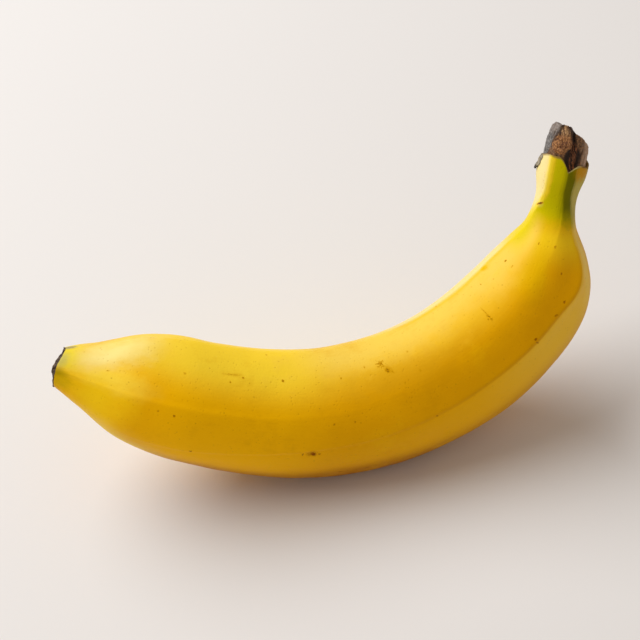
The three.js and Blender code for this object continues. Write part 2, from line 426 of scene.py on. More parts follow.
# The neck's pale is painted light, its dark green is green in painted shade, and its olive rim carries
# painted bounce light.
STEM_PAINTED_LIGHT = (0.88, 0.745, 0.34)
STEM_GOLD = (0.88, 0.7, 0.03)
STEM_YELLOW_GREEN = (0.72, 0.56, 0.001)
STEM_GREEN = (0.56, 0.49, 0.001)
STEM_GREEN_IN_SHADE = (0.155, 0.15, 0.001)
STEM_OLIVE_BOUNCE_LIT = (0.57, 0.465, 0.075)
STEM_RUST = (0.62, 0.3, 0.0005)
TIP_GREEN = (0.82, 0.67, 0.012)
TIP_OLIVE = (0.6, 0.42, 0.002)
FRECKLE_BROWN = (0.42, 0.21, 0.001)
HALO_FRONT = (0.72, 0.36, 0.0002)
HALO_IN_SHADE = (0.5, 0.19, 0.0002)
MARK_FRONT = (0.4, 0.17, 0.0003)
MARK_IN_SHADE = (0.31, 0.075, 0.0003)
MARK_CORE = (0.16, 0.05, 0.001)
SCAB_EDGE = (0.9, 0.68, 0.33)
SCAB_BROWN = (0.13, 0.06, 0.03)
DRIED_BROWN = (0.2, 0.11, 0.045)
LIP_PALE = (0.5, 0.4, 0.17)

# Stains beside the blossom: middle (distance from the tip, angle), half length and half width in
# millimetres, softness, strength and colour.
TIP_STAINS = (
    ((0.6, 82), (1.9, 2.6), 0.9, 0.5, (0.28, 0.22, 0.002)),
    ((0.4, 48), (1.4, 6.8), 0.8, 0.6, (0.42, 0.4, 0.15)),
    ((0.9, 1), (2.2, 3.4), 0.5, 0.85, (0.27, 0.22, 0.13)),
)

# Marks on the skin: distance from the tip, angle, half length and half width in millimetres,
# turn from lengthwise towards rising angles in degrees, and how dark.
STAR_SCAR = (
    (97.6, 30.8, 1.5, 0.26, 8, 0.6), (98.4, 31.6, 1.5, 0.26, 52, 0.6), (98, 32, 1.4, 0.24, 98, 0.55),
    (98.2, 31.2, 1.5, 0.26, 142, 0.6), (96.8, 33.5, 0.5, 0.22, 30, 0.45), (99.3, 29.5, 0.5, 0.22, 100, 0.4),
    (98.6, 34.5, 0.5, 0.35, 40, 0.4), (97, 27.5, 0.5, 0.2, 60, 0.3), (99.6, 39, 1.1, 0.75, 40, 0.75),
    (101.1, 42, 0.8, 0.35, 60, 0.4), (100, 38, 1.9, 1.1, 40, 0.2),
)
BELLY_SCAR = (
    (72.5, 100.2, 0.95, 0.78, 15, 0.85), (72, 99.5, 1.8, 1.2, 0, 0.18),
    (69.5, 100.5, 0.3, 0.5, 0, 0.34), (74.2, 100.5, 0.4, 0.4, 0, 0.36),
)
SCRATCHES = (
    (45.5, 36, 3.4, 0.5, -4, 0.15), (141, 41, 1.9, 0.3, 92, 0.32), (140.8, 46, 0.8, 0.35, 60, 0.7),
    (140.8, 49.3, 0.5, 0.4, 0, 0.8), (139.9, 47.5, 0.4, 0.3, 0, 0.55), (181.4, 28, 3.4, 0.4, 80, 0.9),
)
DOTS = (
    (49, 37.5, 0.45, 0.36, 0, 0.38), (45, 43.5, 0.4, 0.36, 0, 0.32), (145, 89, 0.5, 0.45, 0, 0.68),
    (144.5, 93, 0.6, 0.35, 70, 0.3), (62, 36, 0.5, 0.45, 0, 0.62), (157.5, 99, 0.55, 0.35, 50, 0.5),
    (163, 22.8, 0.55, 0.45, 0, 0.8), (171, 54, 0.42, 0.4, 0, 0.6), (153.5, 94.5, 0.7, 0.4, 45, 0.25),
    (171, 81, 0.8, 0.4, 80, 0.22), (81.5, 137, 0.8, 0.4, 0, 0.45), (31, 84, 0.4, 0.4, 0, 0.45),
    (88.5, 137, 0.6, 0.3, 0, 0.4), (128, 3, 0.6, 0.4, 0, 0.25), (31.5, 43.5, 0.5, 0.5, 0, 0.2),
    (39, 114, 0.5, 0.4, 0, 0.25), (57.5, 7.5, 0.5, 0.35, 80, 0.25), (12, 55.5, 0.5, 0.5, 0, 0.22),
    (162.5, 34.5, 0.5, 0.3, 0, 0.28), (82.5, 36, 0.42, 0.38, 0, 0.45), (110, 49.5, 0.45, 0.38, 0, 0.4),
    (92, 30, 0.5, 0.35, 80, 0.25), (141, 37.5, 0.35, 0.3, 0, 0.25), (84.5, 73.5, 0.4, 0.4, 0, 0.3),
    (164.5, 91.5, 0.4, 0.4, 0, 0.3), (109, 30, 0.4, 0.4, 0, 0.25), (148.5, 19.5, 0.4, 0.4, 0, 0.35),
    (78, 73.5, 0.4, 0.4, 0, 0.35), (103.5, 54, 0.4, 0.4, 0, 0.25), (109, 90, 0.4, 0.4, 0, 0.25),
    (26.5, 84, 0.35, 0.35, 0, 0.2),
)
NECK_DOTS = (
    (190.5, 23, 0.3, 0.22, 0, 0.3), (189.3, 28, 0.25, 0.25, 0, 0.35), (188.3, 26, 0.3, 0.2, 30, 0.3),
    (187.4, 31, 0.25, 0.2, 0, 0.35), (186, 27, 0.3, 0.22, 60, 0.35), (184.8, 23.5, 0.25, 0.2, 0, 0.3),
    (183.2, 26, 0.3, 0.2, 0, 0.3),
)
MARKS_BEHIND = (
    (60, 205, 0.9, 0.6, 10, 0.6), (118, 215, 1.6, 0.5, 20, 0.5), (90, -60, 1.2, 0.7, 30, 0.6),
    (130, -80, 0.7, 0.5, 0, 0.6), (50, -75, 0.6, 0.6, 0, 0.7), (105, -35, 2.4, 0.5, 12, 0.35),
    (150, 200, 0.7, 0.6, 0, 0.6), (30, 180, 0.8, 0.5, 0, 0.5), (160, -70, 1.0, 0.5, 60, 0.5),
)
MARKS = STAR_SCAR + BELLY_SCAR + SCRATCHES + DOTS + NECK_DOTS + MARKS_BEHIND
MARK_SPREAD = 1.15
MARK_STRENGTH = 1.7
# Skin stippled with tiny dots round a scar: middle, and half length and half width.
STIPPLED = (
    ((98.6, 33), (1.8, 1.8)), ((140.6, 47), (1.2, 1.6)),
    ((72.3, 100), (2.4, 1.4)), ((188, 28), (4, 1.3)),
)


class SkinPaint(Paint):
    """The skin's material. Its methods from body on give layers of colour to lay in turn.

    A patch has its middle as (along, around), and its half length and half width in millimetres.
    """

    def __init__(self):
        super().__init__("banana_skin", {"Specular IOR Level": 0.06, "Specular Tint": (1, 0.88, 0.3)})
        self.along, self.around = self.fruit_place()
        self.facet = self.split(self.map_place("facets"), 1) * RIDGE_COUNT
        # The angle from the inside of the bend, folded back behind the fruit so that no seam shows.
        self.fold = self.math("MINIMUM", self.around, (RIDGE_COUNT - self.facet) * BACK_FOLD)
        self.wrap = self.join(self.along, self.around * ROUND_MM)
        self.soft_wrap = self.wandering(self.wrap, 0.12, 9)
        self.ragged_wrap = self.wandering(self.wrap, 0.8, 2)
        self.mottle = self.cloud(self.here, 260, 3.0, 0.6)
        self.streaks = self.cloud(self.join(self.along * 0.09, self.around * 0.55), 1.0, 3.0, 0.65)
        broad = self.cloud(self.here, 45)
        self.tone = self.stray(broad, 0.9) + self.stray(self.mottle, 0.55) + self.stray(self.streaks, 0.25)
        self.pores = self.ramp(self.cells(self.here, 850), 0.28, 0.08) * self.ramp(self.mottle, 0.4, 0.65)
        self.dark = self.marks() * self.ramp(self.cloud(self.here, 2600), 0.38, 0.56, 0.5, 1.2)
        self.lip = self.band(self.around, 83, 118, 4)
        edge_width = self.ramp(self.lip, 0, 1, 1.0, 0.45)
        below_edge = self.stored("below_edge") + self.stray(self.mottle, 1.2)
        self.edge = self.ramp(below_edge / edge_width, 0.9, 0.1)

    def oval(self, wrap, middle, size, turn):
        """1 in the middle of an oval of skin, falling evenly to 0 at its edge."""
        made = self.node("ShaderNodeTexGradient", {"gradient_type": "SPHERICAL"}, {"Vector": wrap}, "Fac")
        mapping = made.socket.node.texture_mapping
        mapping.vector_type = "TEXTURE"
        mapping.translation = (middle[0], middle[1] * ROUND_MM, 0)
        mapping.rotation = (0, 0, math.radians(turn))
        mapping.scale = (size[0], size[1], 1)
        return made

    def patch(self, wrap, middle, size, turn, soft):
        """1 on a soft-edged oval of skin, and 0 away from it."""
        reach = [half * (1 + soft) for half in size]
        return self.ramp(self.oval(wrap, middle, reach, turn), 0, 2 * soft / (1 + soft))

    def soft_patch(self, *values):
        return self.patch(self.soft_wrap, *values)

    def ragged_patch(self, *values):
        return self.patch(self.ragged_wrap, *values)

    def marks(self):
        """How dark the skin is from its scars and dots."""
        warped = self.wandering(self.wrap, 1.3, 0.8)
        dark = 0.0
        for at, angle, length, width, turn, depth in MARKS:
            size = (length * MARK_SPREAD, width * MARK_SPREAD)
            spot = self.oval(warped, (at, angle), size, turn) * (depth * MARK_STRENGTH)
            dark = self.math("MAXIMUM", dark, spot)
        return self.math("MINIMUM", dark, 1.0)

    def body(self):
        """Yellows from the inside of the bend round to the belly in painted light and shade: lit inside the
        bend, shaded on the front, darkest on the belly, and brightest in painted light near the tip.
        """
        along, fold, tone = self.along, self.fold, self.tone
        # Painted shade by side: the upper, front and belly yellows stand for the lamp's light falling off
        # round the fruit.
        yield self.ramp(fold + tone * 30, 12, 42), HALF_LIT_UPPER_YELLOW
        yield self.ramp(fold + tone * 24, 36, 62), SHADED_FRONT_YELLOW
        yield self.ramp(fold + tone * 16, 116, 142) * self.band(along, 24, 138, 16), BELLY_PAINTED_SHADE
        # Painted light: a brighter band towards the blossom tip, in an upper and a front copy.
        painted_light = self.band(along, 22, 72, 14) * self.ramp(fold, 160, 120)
        yield painted_light * 0.95, self.mix(self.ramp(fold, 30, 70), PAINTED_LIGHT_UPPER, PAINTED_LIGHT_FRONT)
        # Painted shade just under the front ridge, where the skin turns away from the lamp.
        yield self.soft_patch((110, 52), (24, 5), 2, 0.8) * 0.5, SHADED_YELLOW
        # A painted highlight on top of the shoulder.
        yield self.soft_patch((161, 22), (16, 6.5), 0, 0.7) * 0.5, SHOULDER_TOP_HIGHLIGHT
        # Paler mottles at random, in a lit copy on top and a painted-shade copy on the front.
        yield self.ramp(tone, 0.02, 0.3) * 0.45, self.mix(self.ramp(fold, 35, 60), PALE_MOTTLE_LIT, PALE_MOTTLE_SHADED)
        yield self.ramp(tone, -0.02, -0.3) * 0.4, DULL_YELLOW

    def inside_strip(self):
        """A painted highlight as a pale strip inside the bend, with a deeper line along its ridge."""
        strip = self.band(self.facet, 0.4, 0.98, 0.05) * self.band(self.along, 104, 170, 10)
        # The pale strip is a painted highlight on the upward facet.
        yield strip * 0.75, STRIP_PAINTED_HIGHLIGHT
        straying = self.facet + self.stray(self.streaks, 0.08)
        line = self.band(straying, 0.99, 1.06, 0.05) * self.band(self.along, 112, 172, 6)
        worn = self.ragged_patch((156, 8), (2.4, 1.2), 12, 0.6)
        yield self.math("MAXIMUM", line * 0.6, worn), STRIP_LINE

    def tip(self):
        """Paler towards the tip in painted light: a lit front, a painted highlight above the front ridge, a
        broad painted highlight on its upper side and painted bounce light under the chin.
        """
        yield self.soft_patch((10.5, 98), (7.5, 15), 0, 0.9) * 0.9, TIP_FRONT_PAINTED_LIGHT
        yield self.soft_patch((12, 67), (9, 4.2), 0, 1.0) * 0.7, TIP_RIDGE_HIGHLIGHT
        yield self.soft_patch((11.5, 30), (10.5, 5.6), -38, 1.0) * 0.95, TIP_TOP_HIGHLIGHT
        yield self.soft_patch((19, 150), (10, 5), 0, 1.5) * 0.85, CHIN_BOUNCE_LIGHT

    def shoulder(self):
        """Painted shade above the shoulder ridge and painted bounce light below it, golden under the neck,
        with a patch of painted shade on the shoulder and painted bounce light on its lower rim.
        """
        along, around, facet = self.along, self.around, self.facet
        yield self.ramp(facet, 2.3, 2.7) * self.band(along, 112, 158, 10) * 0.7, ABOVE_SHOULDER_SHADE
        below = self.ramp(facet, 2.99, 3.03) * self.ramp(facet, 4, 3.4) * self.ramp(along, 84, 125)
        yield below * 0.85, self.mix(self.ramp(along, 118, 150), BELOW_SHOULDER_BOUNCE, BELOW_SHOULDER_BOUNCE_PALE)
        collar = self.band(along, 168.5, 177, 5) * self.band(around, 20, 125, 12)
        yield collar * 0.75, self.mix(self.ramp(around, 38, 60), COLLAR_UPPER, COLLAR_FRONT)
        # Painted shade on the shoulder's front.
        yield self.band(along, 157, 172, 8) * self.band(around, 45, 73, 9) * 0.5, SHOULDER_PAINTED_SHADE
        # Painted bounce light on the shoulder's lower rim.
        yield self.soft_patch((168, 140), (9, 3.2), 0, 0.8) * 0.7, RIM_BOUNCE_LIGHT
        yield self.band(along, 168, 178, 4) * self.ramp(self.fold, 45, 15) * 0.9, COLLAR_INSIDE

    def pore_dots(self):
        """Fine pores, a little browner than the skin round them."""
        yield self.pores * 0.26, PORE_BROWN

    def neck(self):
        """Painted light over gold on its inside, green in front, darkest in the hollow beside that where
        green lies in painted shade, and olive with painted bounce light beyond.
        """
        along, facet, mottle, streaks = self.along, self.facet, self.mottle, self.streaks
        neck = self.ramp(along + self.stray(mottle, 6), 174, 183)
        edgeless = facet + self.stray(streaks, 0.5) + self.stray(mottle, 0.12)
        pale = neck * self.ramp(facet, 0.1, 0.4) * self.ramp(edgeless, 1.6, 0.9)
        inwards = self.around - self.ramp(along, 174, 186, -5, 44)
        inwards = inwards + self.stray(mottle, 12) + self.stray(streaks, 12)
        yield pale * 0.9, self.mix(self.ramp(inwards, -20, -3), STEM_PAINTED_LIGHT, STEM_GOLD)
        green = self.ramp(along + self.stray(mottle, 4), 174.5, 179.5) * self.ramp(inwards, -3, 10)
        green_yellow = self.mix(self.ramp(along, 176, 182), STEM_YELLOW_GREEN, STEM_GREEN)
        yield green * self.ramp(facet, 3.6, 3.1), green_yellow
        hollow = self.ramp(along + self.stray(mottle, 5), 174, 183) * self.ramp(edgeless, 1.74, 2.22)
        yield hollow * 0.95, STEM_GREEN_IN_SHADE
        yield neck * self.ramp(edgeless, 2.85, 3.2) * 0.9, STEM_OLIVE_BOUNCE_LIT
        yield self.soft_patch((192.5, 126), (2.6, 8), 0, 0.6), STEM_RUST

    def blossom_end(self):
        """Greener towards the blossom tip, with olive and grey stains beside it."""
        yield self.soft_patch((0.5, 98), (3.2, 9), 0, 0.6) * 0.6, TIP_OLIVE
        end = self.ramp(self.along + self.stray(self.mottle, 5), 7.5, 0.5)
        yield end * self.ramp(self.fold, 76, 60) * 0.7, TIP_GREEN
        for middle, size, soft, strength, colour in TIP_STAINS:
            yield self.ragged_patch(middle, size, 0, soft) * strength, colour

    def scars(self):
        """Freckles, then scars and dots that are darkest in their middle."""
        stippled = 0.0
        for middle, size in STIPPLED:
            stippled = self.math("MAXIMUM", stippled, self.ragged_patch(middle, size, 0, 0.5))
        stipple = self.ramp(self.cells(self.here, 1700), 0.34, 0.16) * stippled
        freckles = self.ramp(self.cells(self.here, 360), 0.12, 0.05)
        freckles = freckles * self.ramp(self.cloud(self.here, 110), 0.5, 0.6)
        yield stipple * 0.42 + freckles * 0.4, FRECKLE_BROWN
        dark = self.dark
        # Below the front, marks take darker copies of their colours: painted shade, as on the belly.
        below = self.ramp(self.around, 60, 90)
        yield self.math("MINIMUM", dark * 2.5, 1.0) * 0.95, self.mix(below, HALO_FRONT, HALO_IN_SHADE)
        yield dark * 0.85, self.mix(below, MARK_FRONT, MARK_IN_SHADE)
        yield self.ramp(dark, 0.8, 1.0) * 0.45, MARK_CORE
        scab = self.patch(self.wrap, (181.4, 28), (1.0, 3.2), 0, 0.5)
        yield scab * self.ramp(dark, 0.5, 0.2) * 0.15, SCAB_EDGE
        yield scab * self.ramp(dark, 0.4, 0.8) * 0.7, SCAB_BROWN

    def dried_edge(self):
        """The dried edge under the crown, narrower and pale where it dips at the front."""
        yield self.edge * 0.85, self.mix(self.lip, DRIED_BROWN, LIP_PALE)


def skin_paint():
    paint = SkinPaint()
    colour = LIT_INSIDE_YELLOW
    for layers in (
        paint.body, paint.inside_strip, paint.tip, paint.shoulder, paint.pore_dots,
        paint.neck, paint.blossom_end, paint.scars, paint.dried_edge,
    ):
        colour = paint.lay(colour, layers())
    paint.set("Base Color", colour)
    paint.set("Roughness", 0.43 + paint.stray(paint.mottle, 0.16) + paint.dark * 0.25 + paint.edge * 0.2)
    fine = paint.cloud(paint.here, 1500)
    relief = fine * 0.35 + paint.mottle * 0.8 + paint.streaks * 0.5 - paint.pores * 0.8
    paint.bump(relief, 0.00016, 0.5)
    return paint.material


# ---- The paint of the dried parts ----

LOBE_DARK = (0.06, 0.028, 0.013)
LOBE_BROWN = (0.2, 0.115, 0.062)
LOBE_PAINTED_LIGHT = (0.55, 0.37, 0.25)
WOOL_DARK = (0.12, 0.036, 0.012)
WOOL_BROWN = (0.5, 0.232, 0.085)
WOOL_SHADOW = (0.07, 0.024, 0.009)
FIBRE_DARK = (0.08, 0.032, 0.014)
FIBRE_GOLD = (0.48, 0.28, 0.125)
GREY_DARK = (0.055, 0.05, 0.048)
GREY_PALE = (0.27, 0.25, 0.238)
GREY_TOP = (0.3, 0.23, 0.19)
BORDER_BLACK = (0.022, 0.014, 0.011)
PIT_DARK_AND_SHADE = (0.034, 0.017, 0.011)
THREAD_RED = (0.4, 0.15, 0.06)
FISSURE_BLACK = (0.03, 0.017, 0.012)
SLIVER_DARK = (0.15, 0.12, 0.075)
SLIVER_PALE = (0.34, 0.285, 0.19)
SLIVER_RIM = (0.05, 0.038, 0.024)
SLIVER_TIP = (0.02, 0.014, 0.01)
BLOSSOM_DARK = (0.03, 0.018, 0.012)
BLOSSOM_GREY = (0.24, 0.18, 0.14)
FILM_BROWN = (0.16, 0.11, 0.085)
FILM_PALE = (0.5, 0.4, 0.31)
DISH_BLACK = (0.02, 0.013, 0.01)
DRIED_SHINE = {"Specular IOR Level": 0.3}


class CrownPaint(Paint):
    """The dried crown's material. Its methods give layers of colour to lay in turn."""

    def __init__(self):
        super().__init__("dried_stem", DRIED_SHINE)
        self.along, self.around = self.fruit_place()
        self.lumps = self.cloud(self.here, 420, 4.0, 0.65)
        self.crumb = self.cloud(self.here, 1900, 3.0, 0.7)
        self.lines = self.cloud(self.join(self.along * 0.07, self.around * 0.2), 1.0, 4.0, 0.6)
        leaning = self.around + self.along * 3 + self.stray(self.lumps, 22)
        self.stripes = self.cloud(self.join(self.along * 0.1, leaning * 0.2), 1.0, 2.0, 0.6)

    def lobe(self):
        """The smooth brown lobe, with painted light making it palest on its outer side."""
        yield self.ramp(self.lines * 0.75 + self.crumb * 0.25, 0.38, 0.62), LOBE_BROWN
        yield self.ramp(self.around + self.stray(self.lines, 30), 110, 134), LOBE_PAINTED_LIGHT

    def wool(self):
        """The woolly pad, with dark gaps between its threads."""
        yield self.ramp(self.crumb * 0.6 + self.lumps * 0.4, 0.38, 0.6), WOOL_BROWN
        weave = self.cells(self.wandering(self.here, 700, 0.0012), 1250, "DISTANCE_TO_EDGE")
        yield self.ramp(weave, 0.07, 0.0) * 0.8, WOOL_SHADOW

    def fibres(self):
        """Upright fibres over the pad, some golden and some dark."""
        top = self.ramp(self.along + self.stray(self.lumps, 2), 202.4, 203.6)
        top = top * self.band(self.around, 28, 84, 8)
        yield top * 0.85, self.mix(self.ramp(self.stripes, 0.44, 0.56), FIBRE_DARK, FIBRE_GOLD)

    def grey_side(self):
        """The blue-grey side, browner at its top, with a dark ragged border."""
        side = self.around + self.stray(self.lumps, 22) - (self.along - 197) * 4.5
        grey = self.mix(self.ramp(self.lumps * 0.4 + self.crumb * 0.6, 0.4, 0.6), GREY_DARK, GREY_PALE)
        top = self.ramp(self.along + self.stray(self.lumps, 4), 200, 205)
        yield self.ramp(side, 15, 9) * self.ramp(self.around, -95, -70), self.mix(top * 0.6, grey, GREY_TOP)
        border = self.band(side + self.stray(self.crumb, 14), 10, 20, 3)
        yield border * self.ramp(self.along, 198, 200) * 0.75, BORDER_BLACK

    def hollows(self):
        """Nearly black in the hollows, the dried crown's own dark with painted shade by depth, with red-brown
        threads in the notch.
        """
        deep = self.ramp(self.stored("hollow") + self.stray(self.crumb, 0.3), 0.2, 0.75)
        threads = self.ramp(self.stripes, 0.42, 0.54) * self.band(self.around, 84, 106, 4)
        threads = threads * self.ramp(self.along, 201, 198.5)
        yield deep, self.mix(threads * 0.9, PIT_DARK_AND_SHADE, THREAD_RED)
        fissure = self.around + self.stray(self.crumb, 10) - (203 - self.along) * 3
        yield self.band(fissure, 79, 87, 4) * self.ramp(self.along, 200.5, 202) * 0.8, FISSURE_BLACK


def crown_paint():
    paint = CrownPaint()
    lobe = paint.lay(LOBE_DARK, paint.lobe())
    wool = paint.lay(WOOL_DARK, paint.wool())
    pad = paint.ramp(paint.stored("pad") + paint.stray(paint.crumb, 0.5), 0.15, 0.45)
    colour = paint.mix(pad, lobe, wool)
    for layers in (paint.fibres, paint.grey_side, paint.hollows):
        colour = paint.lay(colour, layers())
    threads = paint.cloud(paint.join(paint.along * 0.35, paint.around * 0.32), 1.0, 4.0, 0.7)
    paint.set("Base Color", colour)
    paint.set("Roughness", 0.66 + paint.stray(paint.crumb, 0.3))
    paint.bump(paint.crumb * 0.7 + threads + paint.lumps * 0.4, 0.0003, 0.8)
    return paint.material


def flake_paint():
    paint = Paint("dried_sliver", DRIED_SHINE)
    lumps = paint.cloud(paint.here, 900, 3.0, 0.6)
    rim = paint.ramp(paint.stored("border") + paint.stray(lumps, 0.3), 0.85, 0.98)
    tip = paint.ramp(paint.stored("lift") + paint.stray(lumps, 0.2), 0.72, 0.86)
    colour = paint.mix(paint.ramp(lumps, 0.38, 0.62), SLIVER_DARK, SLIVER_PALE)
    paint.set("Base Color", paint.lay(colour, ((rim * 0.7, SLIVER_RIM), (tip, SLIVER_TIP))))
    paint.set("Roughness", 0.6 + paint.stray(lumps, 0.3))
    paint.bump(lumps, 0.0002, 0.7)
    return paint.material


def blossom_paint():
    paint = Paint("dried_blossom", DRIED_SHINE)
    lumps = paint.cloud(paint.here, 500, 4.0, 0.65)
    crumb = paint.cloud(paint.here, 2200, 3.0, 0.7)
    film = paint.ramp(paint.stored("forward") + paint.stray(crumb, 0.5), 0.1, 0.45)
    film_colour = paint.mix(paint.ramp(lumps, 0.4, 0.6), FILM_BROWN, FILM_PALE)
    dish = paint.ramp(paint.stored("inwards"), 0.15, 0.45)
    colour = paint.mix(paint.ramp(lumps * 0.5 + crumb * 0.5, 0.4, 0.6), BLOSSOM_DARK, BLOSSOM_GREY)
    paint.set("Base Color", paint.lay(colour, ((film * 0.75, film_colour), (dish * 0.6, DISH_BLACK))))
    paint.set("Roughness", 0.7 + paint.stray(crumb, 0.3))
    paint.bump(crumb + lumps, 0.0002, 0.8)
    return paint.material


FLOOR_WHITE = (0.775, 0.75, 0.734)
FLOOR_LIGHT = (0.79, 0.765, 0.748)


def floor_paint():
    paint = Paint("pale_floor", {"Roughness": 0.85, "Specular IOR Level": 0.1})
    paint.set("Base Color", paint.mix(paint.cloud(paint.here, 6), FLOOR_WHITE, FLOOR_LIGHT))
    return paint.material


# ---- Shaping a closed tube by hand, ring after ring ----

DISC_RADIUS = 0.001
AT_MIDDLE = 1e-6  # a corner of the disc nearer than this is its middle


class Tube:
    """A filled disc that is extruded again and again, each new rim pulled onto its places."""

    def __init__(self, name, columns, kept=("facet", "below_edge")):
        """Kept names the two further values that each place carries."""
        bpy.ops.object.select_all(action="DESELECT")
        bpy.ops.mesh.primitive_circle_add(
            vertices=columns, radius=DISC_RADIUS, fill_type="TRIFAN", location=(0, 0, 0))
        self.piece = bpy.context.object
        self.piece.name = name
        self.piece.data.name = name
        bpy.ops.object.mode_set(mode="EDIT")
        bpy.ops.mesh.select_mode(type="VERT")
        self.mesh = bmesh.from_edit_mesh(self.piece.data)
        layers = self.mesh.verts.layers.float
        self.layers = [layers.new(key) for key in ("along", "around", *kept)]
        self.kept = kept
        self.mesh.verts.ensure_lookup_table()
        corners = [v for v in self.mesh.verts if v.co.length > AT_MIDDLE]
        self.rim = sorted(corners, key=lambda v: math.atan2(v.co.y, v.co.x))
        self.middle = next(v for v in self.mesh.verts if v.co.length <= AT_MIDDLE)

    def pull(self, vertex, target):
        bpy.ops.mesh.select_all(action="DESELECT")
        vertex.select_set(True)
        bpy.ops.transform.translate(value=target - vertex.co)

    def settle(self, targets):
        """Pulls the rim onto its places and notes where each lies on the fruit."""
        centre = sum((t[0] for t in targets), Vector()) / len(targets)
        for vertex, target in zip(self.rim, targets):
            self.pull(vertex, target[0])
        self.pull(self.middle, centre)
        for i, layer in enumerate(self.layers, 1):
            for vertex, target in zip(self.rim, targets):
                vertex[layer] = target[i]
            self.middle[layer] = sum(target[i] for target in targets) / len(targets)

    def grow(self, targets):
        """Extrudes the disc and settles the new rim."""
        bpy.ops.mesh.select_all(action="DESELECT")
        for vertex in (*self.rim, self.middle):
            vertex.select_set(True)
        self.mesh.select_flush(True)
        before = [vertex.co.copy() for vertex in (*self.rim, self.middle)]
        bpy.ops.mesh.extrude_region_move()
        made = [v for v in self.mesh.verts if v.select]
        new = [min(made, key=lambda v: (v.co - point).length_squared) for point in before]
        self.rim, self.middle = new[:-1], new[-1]
        self.settle(targets)

    def close(self, rings):
        """Makes the whole tube from its rings, with outward faces and both of its maps."""
        self.settle(rings[0])
        for ring in rings[1:]:
            self.grow(ring)
        bpy.ops.mesh.select_all(action="SELECT")
        bpy.ops.mesh.normals_make_consistent(inside=False)
        bpy.ops.object.mode_set(mode="OBJECT")
        lay_map(self.piece, "wrap", "around", 360)
        lay_map(self.piece, "facets", self.kept[0], RIDGE_COUNT)
        return self.piece


def lay_map(piece, name, across, turn):
    """A map of the surface: lengthwise, and round by a stored value that starts again each turn."""
    mesh = piece.data
    along = mesh.attributes["along"].data
    values = mesh.attributes[across].data
    layer = mesh.uv_layers.new(name=name)
    for face in mesh.polygons:
        seen = [values[v].value for v in face.vertices]
        highest = max(seen)
        for loop, v, value in zip(face.loop_indices, face.vertices, seen):
            if highest - value > turn / 2:
                value += turn
            layer.data[loop].uv = (along[v].value / MAP_LENGTH, value / turn)


def only(piece):
    """Makes a piece the only selected one, and active."""
    bpy.ops.object.select_all(action="DESELECT")
    piece.select_set(True)
    bpy.context.view_layer.objects.active = piece


def subdivide(piece, levels):
    only(piece)
    made = piece.modifiers.new("rounding", "SUBSURF")
    made.levels = levels
    made.render_levels = levels
    bpy.ops.object.modifier_apply(modifier=made.name)


def roughen(piece, size, strength, noise_depth, group=""):
    """Moves the surface in and out by a random pattern, with its size and strength in metres."""
    texture = bpy.data.textures.new(f"{piece.name} {size}", "CLOUDS")
    texture.noise_scale = size
    texture.noise_depth = noise_depth
    only(piece)
    made = piece.modifiers.new("roughen", "DISPLACE")
    made.texture = texture
    made.strength = strength
    made.vertex_group = group
    bpy.ops.object.modifier_apply(modifier=made.name)


def finish_piece(piece, material):
    only(piece)
    bpy.ops.object.shade_smooth()
    piece.data.materials.clear()
    piece.data.materials.append(material)
    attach(piece, "root")
    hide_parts("banana")


# ---- The skin ----

# Where the columns of each facet lie: close together beside its ridges, where the skin folds.
FACET_COLUMNS = (0, 0.05, 0.12, 0.22, 0.35, 0.5, 0.65, 0.78, 0.88, 0.95)
SKIN_COLUMNS = [facet + share for facet in range(RIDGE_COUNT) for share in FACET_COLUMNS]
TIP_CUT = 5.7  # the blossom end is cut at a slope, from its longest side to its shortest
TIP_LONGEST_ANGLE = 82
TIP_LONGEST_OUT = 1.2  # the longest side stands out past the end of the middle line
TIP_CUT_FADE = 14
SKIN_EDGE_START = 186

# How far up the crown the skin reaches, by angle: it dips to a point at the front.
SKIN_EDGE = through([
    (-150, 194.4), (-90, 193.4), (-39, 194.6), (-15, 195), (30, 196.5), (56, 196.6), (67, 195.6), (76, 193.8),
    (83, 192.3), (96, 193.4), (112, 194.2), (145, 193.2), (180, 194.6), (210, 194.4), (270, 193.4),
])
# Low swells of the skin: middle (distance from the tip, angle), size in the same units, and height.
SKIN_SWELLS = (
    ((14, 135), (19, 60), 1.0), ((26, -20), (18, 50), 0.75), ((5, -40), (6, 50), 0.35),
    ((156, 148), (17, 55), 1.0), ((193, 160), (9, 55), 0.55), ((189.5, -38), (8, 36), 1.15),
    ((144, -32), (36, 42), 0.7), ((176, -35), (8, 50), -0.35), ((184, 125), (8, 35), -0.3),
)
# Rings between the neck and the skin's edge, as shares of the way.
SKIN_TOP_SHARES = (0.2, 0.4, 0.58, 0.75, 0.88, 0.96)


def skin_edge(angle):
    a = turned(angle, 60) + 60
    x, y = on_circle(a)
    return SKIN_EDGE(a) + 0.25 * grain(x * 4, y * 4, 0, 3.1)


def tip_cut(angle, at):
    left = clamp(1 - at / TIP_CUT_FADE)
    short = TIP_CUT * (1 - math.cos(math.radians(angle - TIP_LONGEST_ANGLE))) / 2
    corner = 1.5 * smooth(1 - abs(turned(angle, -35)) / 48) - 0.35 * smooth(1 - abs(turned(angle, 36)) / 36)
    return (short - TIP_LONGEST_OUT - corner) * left * left


def skin_bumps(at, angle):
    return sum(swell(at, angle, *bump) for bump in SKIN_SWELLS)


def skin_ring(at, radius_less=0.0, shift=0.0):
    ring = []
    for facet in SKIN_COLUMNS:
        angle = facet_angle(facet, at)
        radius = girth(at) * section_share(facet, at) + skin_bumps(at, angle) - radius_less
        where = at + tip_cut(angle, at) * radius / (radius + radius_less) + shift
        ring.append((place(where, angle, radius), at, angle, facet, skin_edge(angle) - at))
    return ring


